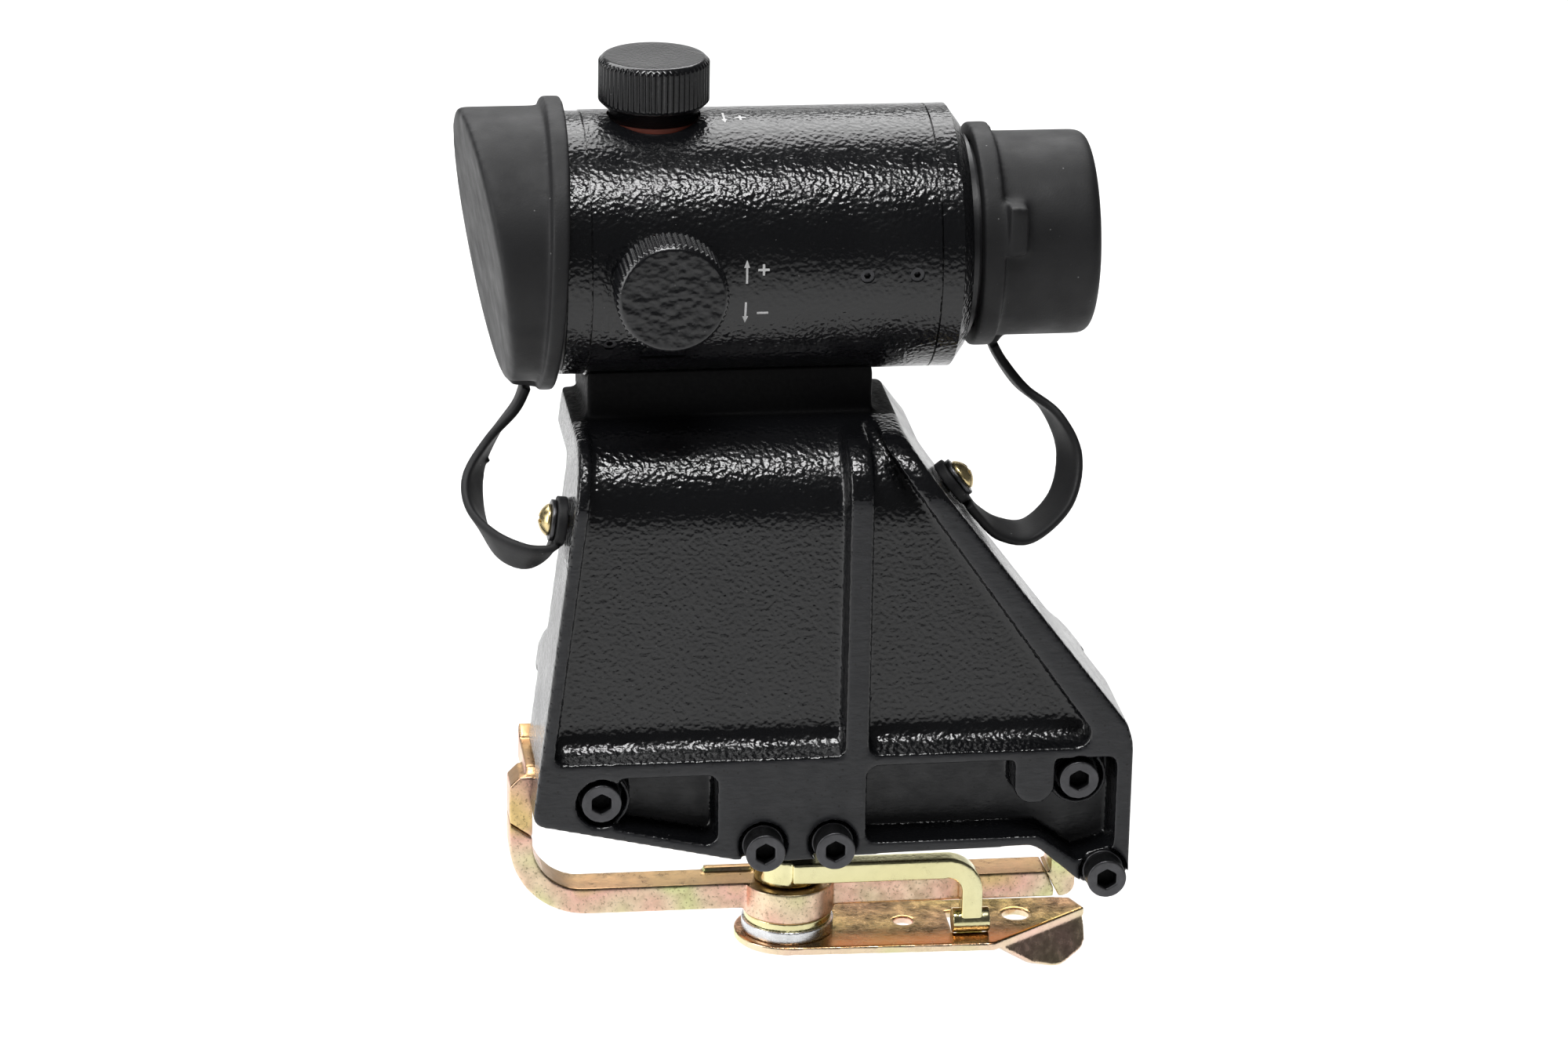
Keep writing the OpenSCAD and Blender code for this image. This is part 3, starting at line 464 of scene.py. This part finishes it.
# ---------------------------------------------------------------- knurled knobs
def make_knob(node, body, centre, out, across, radius, face_paint):
    """Straight-knurled knob, turned from rings of (height from the base, radius)."""
    teeth, per_tooth, depth = 56, 8, 0.42 * mm
    low, high = 0.0, height_of(node, out)
    neck, neck_radius = 2.8 * mm, 9.5 * mm
    chamfer = 1.1 * mm
    rings = [
        (low, neck_radius), (neck, neck_radius), (neck + 0.05 * mm, radius - chamfer),
        (neck + 0.35 * mm, radius - 0.75 * chamfer), (neck + 0.7 * mm, radius - 0.4 * chamfer),
        (neck + chamfer, radius), (neck + chamfer + 0.4 * mm, radius),
        (high - 1.5 * mm, radius), (high - 1.0 * mm, radius), (high - 0.7 * mm, radius - 0.3 * mm),
        (high - 0.35 * mm, radius - 0.62 * mm), (high - 0.12 * mm, radius - 0.9 * mm),
        (high - 0.03 * mm, radius - 1.1 * mm), (high - 0.02 * mm, radius - 1.5 * mm),
        (high - 0.06 * mm, radius * 0.6), (high - 0.08 * mm, radius * 0.25),
    ]
    steps = teeth * per_tooth
    beside = out.cross(across)
    bm = bmesh.new()
    loops = []
    for height, ring_radius in rings:
        loop = []
        for i in range(steps):
            a = 2 * math.pi * i / steps
            groove = (0.5 - 0.5 * math.cos(teeth * a)) ** 1.4
            r = min(ring_radius, radius - depth * groove) if height >= neck else ring_radius
            spot = centre + out * height + across * (r * math.cos(a)) + beside * (r * math.sin(a))
            loop.append(bm.verts.new(spot))
        loops.append(loop)
    top_start = len(rings) - 4
    for k in range(len(loops) - 1):
        for i in range(steps):
            j = (i + 1) % steps
            face = bm.faces.new((loops[k][i], loops[k][j], loops[k + 1][j], loops[k + 1][i]))
            face.material_index = 1 if k >= top_start else 0
    bm.faces.new(loops[0][::-1])
    bm.faces.new(loops[-1]).material_index = 1
    obj = object_from(bm, node + "_knurled", paints["knob"], face_paint)
    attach(obj, body)
    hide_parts(node)


def height_of(node, out):
    low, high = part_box(node)
    return abs((high - low).dot(out))


def make_knobs():
    low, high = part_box("elevation_knob")
    centre = Vector(((low.x + high.x) / 2, (low.y + high.y) / 2, low.z))
    radius = (high.x - low.x) / 2
    make_knob("elevation_knob", "elevation_turret", centre, Vector((0, 0, 1)), Vector((1, 0, 0)), radius,
              paints["knob"])
    low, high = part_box("windage_knob")
    centre = Vector(((low.x + high.x) / 2, high.y, (low.z + high.z) / 2))
    make_knob("windage_knob", "windage_turret", centre, Vector((0, -1, 0)), Vector((1, 0, 0)), radius,
              paints["dimpled"])


# ---------------------------------------------------------------- straps
def smooth_route(rows, steps):
    """Catmull-Rom through rows of [centre, half-width vector], as arrays of six numbers."""
    rows = [np.array(centre + wide, float) for centre, wide in rows]
    line = []
    for i in range(len(rows) - 1):
        a, b = rows[max(i - 1, 0)], rows[i]
        c, d = rows[i + 1], rows[min(i + 2, len(rows) - 1)]
        for k in range(steps):
            t = k / steps
            line.append(0.5 * (2 * b + (c - a) * t + (2 * a - 5 * b + 4 * c - d) * t * t
                               + (3 * b - a - 3 * c + d) * t ** 3))
    line.append(rows[-1])
    return line


def add_strap(bm, rows, thick):
    """Sweeps a band with rounded edges along the rows, in millimetres."""
    line = smooth_route(rows, 9)
    section = []
    for i in range(20):
        a = 2 * math.pi * (i + 0.5) / 20
        c, s = math.cos(a), math.sin(a)
        section.append((math.copysign(abs(c) ** 0.32, c), math.copysign(abs(s) ** 0.55, s)))
    loops = []
    for i, row in enumerate(line):
        along = line[min(i + 1, len(line) - 1)][:3] - line[max(i - 1, 0)][:3]
        wide = row[3:]
        flat = np.cross(along / np.linalg.norm(along), wide)
        flat *= thick / 2 / np.linalg.norm(flat)
        loops.append([bm.verts.new((row[:3] + wide * u + flat * v) * mm) for u, v in section])
    for one, two in zip(loops, loops[1:]):
        for i in range(len(section)):
            j = (i + 1) % len(section)
            bm.faces.new((one[i], one[j], two[j], two[i]))
    bm.faces.new(loops[0][::-1])
    bm.faces.new(loops[-1])


def add_cylinder(bm, base, axis, radius, height, sides=64, inner=None):
    """Closed cylinder, or a closed ring where inner is given."""
    axis = axis.normalized()
    across = axis.orthogonal().normalized()
    other = axis.cross(across)

    def ring(r, h):
        return [bm.verts.new(base + axis * h + (across * math.cos(2 * math.pi * i / sides)
                                                + other * math.sin(2 * math.pi * i / sides)) * r)
                for i in range(sides)]

    out_low, out_high = ring(radius, 0), ring(radius, height)
    if inner is None:
        bm.faces.new(out_low[::-1])
        bm.faces.new(out_high)
    else:
        in_low, in_high = ring(inner, 0), ring(inner, height)
    for i in range(sides):
        j = (i + 1) % sides
        bm.faces.new((out_low[i], out_low[j], out_high[j], out_high[i]))
        if inner is not None:
            bm.faces.new((in_low[j], in_low[i], in_high[i], in_high[j]))
            bm.faces.new((out_low[j], out_low[i], in_low[i], in_low[j]))
            bm.faces.new((out_high[i], out_high[j], in_high[j], in_high[i]))


objective_route = [
    ([-54.8, 14, 68.6], [0, 4.2, 0]), ([-57, 12.5, 64], [0.6, 4.1, 0]), ([-62.5, 9, 58.5], [1.6, 3.8, 0]),
    ([-66.8, 4, 52], [2.2, 3.5, -0.6]), ([-66.8, -3, 45.8], [1.8, 3, -2.2]),
    ([-63.2, -9.6, 41.4], [0.6, 2.2, -3.4]), ([-57.5, -13.6, 39.6], [0, 2.4, -3.4]),
    ([-52.8, -13.6, 40.4], [0, 3.4, -2.2]), ([-50.7, -13, 43], [0, 4.2, 0]),
]
eyepiece_route = [
    ([45.4, 14, 75.6], [0, 4.2, 0]), ([47.2, 13, 72], [-0.4, 4, 0]), ([51.5, 10, 66.5], [-1, 4, 0]),
    ([57.5, 6, 62], [-1.6, 3.8, 0]), ([61, 2, 54], [-2, 3.6, 0]), ([58.5, -4, 45.6], [-1.6, 3.8, 0.4]),
    ([51, -8, 40], [-0.4, 4, 1]), ([44, -9.6, 41.2], [0.2, 4, 0.8]), ([39.2, -10, 45.1], [0, 4, 0]),
    ([37, -10, 47.9], [0, 4, 0]),
]


def make_strap(node, rows, eye, out, nubs):
    """Moulded rubber strap: the swept band and its eye round the screw, joined into one skin."""
    bm = bmesh.new()
    add_strap(bm, rows, 2.0)
    base = Vector(eye) * mm + out * 0.1 * mm
    eye_radius, eye_thick, eye_hole = 5.2 * mm, 2.3 * mm, 1.6 * mm
    add_cylinder(bm, base, out, eye_radius, eye_thick, inner=eye_hole)
    for spot in nubs:
        bmesh.ops.create_icosphere(bm, subdivisions=2, radius=0.55 * mm,
                                   matrix=Matrix.Translation(Vector(spot) * mm))
    bmesh.ops.recalc_face_normals(bm, faces=bm.faces)
    obj = object_from(bm, node + "_moulded")
    mesh = remeshed(obj, 0.3 * mm)
    relax(mesh, 3)
    finish_mesh(obj, mesh, [paints["strap"]])
    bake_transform(obj)
    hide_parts(node)


def make_straps():
    left_out = Vector((-0.992, 0, 0.125))
    right_out = Vector((0.7946, 0, 0.6071))
    make_strap("objective_strap", objective_route, (-48.66, -13, 47), left_out,
               [(-61.2, 11, 58.4), (-63.4, 7.6, 53.6), (-64.8, 5.6, 51)])
    make_strap("eyepiece_strap", eyepiece_route, (32.71, -10, 51.5), right_out,
               [])


# ---------------------------------------------------------------- rubber caps
def make_caps():
    """Moulded caps: broad rounding at the closed ends, less at the bead that grips the tube.

    The front cap's bead sits slightly crooked, further on at the top than below.
    """
    bead_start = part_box("objective_cap")[1].x - 5 * mm
    flange_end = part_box("eyepiece_cap")[0].x + 7 * mm

    def front_weight(points):
        return np.where(points[:, 0] > bead_start, 0.22, 1.0)

    def rear_weight(points):
        return np.where(points[:, 0] < flange_end, 0.22, 1.0)

    voxel = 0.42 * mm
    cap = softened("objective_cap", "front_cap", paints["rubber"], voxel, 44, front_weight)
    low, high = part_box("objective_cap")
    tube_radius = 28 * mm
    middle_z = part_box("tube_body")[0].z + tube_radius
    bead_lean = 0.05
    for vert in cap.data.vertices:
        share = (vert.co.x - low.x) / (high.x - low.x)
        vert.co.x += bead_lean * share * share * (vert.co.z - middle_z)
    softened("eyepiece_cap", "rear_cap", paints["rubber"], voxel, 36, rear_weight)


# ---------------------------------------------------------------- screws, clamp and lever
def paint_shaded_tops(obj, material, slant):
    """Adds a second material for the faces that look up more than the slant: a darker copy that paints shade
    on the upward faces.
    """
    obj.data.materials.append(material)
    for face in obj.data.polygons:
        face.material_index = 1 if face.normal.z > slant else 0


def paint_shade_in_sockets(obj):
    """Painted shade inside the hexagon sockets of the cap screws: near-black dull paint from just below their
    rims. In mm.
    """
    obj.data.materials.append(paints["deep_shade"])
    socket_reach, rim_depth, socket_end = 2.45, 0.45, 4
    # x, z and front face y of each head
    heads = [(-42, -12.4, -25.8), (60.6, -10.8, -25.8), (-7.4, -23.3, -30.3), (7.6, -23.3, -30.3),
             (66.6, -32.2, -30.3)]
    for face in obj.data.polygons:
        spot = face.center / mm
        for x, z, front in heads:
            near = math.hypot(spot.x - x, spot.z - z) < socket_reach
            if near and front + rim_depth < spot.y < front + socket_end:
                face.material_index = 1


def make_clasp():
    """Rolled barrel that holds the foot of the latch arm, with its tongue through the lever's slot."""
    low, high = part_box("latch_clasp")
    bm = bmesh.new()
    radius = (high.y - low.y) / 2
    barrel_start = Vector((low.x, low.y + radius, high.z - radius))
    add_cylinder(bm, barrel_start, Vector((1, 0, 0)), radius, high.x - low.x)
    tongue_size = (5.6 * mm, 1.8 * mm, 6.4 * mm)
    tongue_middle = (39.2 * mm, -17.1 * mm, -49.4 * mm)
    tongue = bmesh.ops.create_cube(bm, size=1.0)["verts"]
    bmesh.ops.scale(bm, vec=tongue_size, verts=tongue)
    bmesh.ops.translate(bm, vec=tongue_middle, verts=tongue)
    bmesh.ops.recalc_face_normals(bm, faces=bm.faces)
    obj = object_from(bm, "latch_clasp_rolled")
    mesh = remeshed(obj, 0.16 * mm)
    relax(mesh, 4)
    finish_mesh(obj, mesh, [paints["arm"]])
    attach(obj, "lever")
    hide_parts("latch_clasp")


def make_hardware():
    # the cap screws get painted shade inside their sockets
    paint_shade_in_sockets(softened("cap_screws", "root", paints["black_oxide"], 0.2 * mm, 4))
    softened("strap_screws", "root", paints["brass"], 0.11 * mm, 2)
    softened("strap_washers", "root", paints["black_oxide"], 0.2 * mm, 3)
    softened("lock_washers", "root", paints["black_oxide"], 0.2 * mm, 2)
    for node in ("clamp_bar", "clamp_jaws"):
        obj = softened(node, "clamp", paints["zinc"], 0.32 * mm, 4)
        # painted shade: the clamp's upward faces take the darker brown copy
        paint_shaded_tops(obj, paints["zinc_shaded_top"], 0.6)
    lever = softened("lever_plate", "lever", paints["lever_edge"], 0.26 * mm, 3)
    # painted shade: the lever's upward faces take the darker orange-brown copy
    paint_shaded_tops(lever, paints["lever"], 0.75)
    softened("latch_arm", "lever", paints["arm"], 0.28 * mm, 11)
    make_clasp()
    softened("brass_washer", "lever", paints["arm"], 0.22 * mm, 3)
    softened("steel_washers", "lever", paints["bright_steel"], 0.22 * mm, 3)


# ---------------------------------------------------------------- markings
def make_mark(name, rows, x, angle):
    """Thin painted mark on the tube wall, from rows of (height round the tube, left, right) in mm."""
    low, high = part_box("tube_body")
    radius = (high.z - low.z) / 2
    centre_y, centre_z = (low.y + high.y) / 2, (low.z + high.z) / 2

    inside, outside = -0.05 * mm, 0.04 * mm

    def on_tube(u, v, lift):
        a = math.radians(angle) + v * mm / radius
        r = radius + lift
        return (x * mm + u * mm, centre_y - r * math.cos(a), centre_z + r * math.sin(a))

    bm = bmesh.new()
    loops = []
    for v, left, right in rows:
        corners = [(left, inside), (right, inside), (right, outside), (left, outside)]
        loops.append([bm.verts.new(on_tube(u, v, lift)) for u, lift in corners])
    for one, two in zip(loops, loops[1:]):
        for i in range(4):
            j = (i + 1) % 4
            bm.faces.new((one[i], one[j], two[j], two[i]))
    bm.faces.new(loops[0][::-1])
    bm.faces.new(loops[-1])
    bmesh.ops.recalc_face_normals(bm, faces=bm.faces)
    obj = object_from(bm, name, paints["white_paint"], smooth=False)
    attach(obj, "root")


def make_markings():
    """Arrows for the two adjusters, with a generic plus and minus beside them."""
    shaft, head, step = 0.22, 0.62, 0.03
    arrow_up = [(-2.4, -shaft, shaft), (-1.2, -shaft, shaft), (0, -shaft, shaft), (1, -shaft, shaft),
                (1 + step, -head, head), (1.8, -0.32, 0.32), (2.6, -step, step)]
    arrow_down = [(-v, left, right) for v, left, right in reversed(arrow_up)]
    minus = [(-0.25, -1.2, 1.2), (0.25, -1.2, 1.2)]
    plus = [(-1.2, -0.25, 0.25), (-0.25 - step, -0.25, 0.25), (-0.25, -1.2, 1.2), (0.25, -1.2, 1.2),
            (0.25 + step, -0.25, 0.25), (1.2, -0.25, 0.25)]
    make_mark("side_arrow_up", arrow_up, -11.3, 3)
    make_mark("side_plus", plus, -7.8, 4)
    make_mark("side_arrow_down", arrow_down, -11.4, -15.5)
    make_mark("side_minus", minus, -7.8, -16)
    make_mark("top_arrow", arrow_down, -13.6, 83)
    make_mark("top_plus", plus, -10.2, 82)


make_bracket()
make_knobs()
make_straps()
make_caps()
make_hardware()
make_markings()
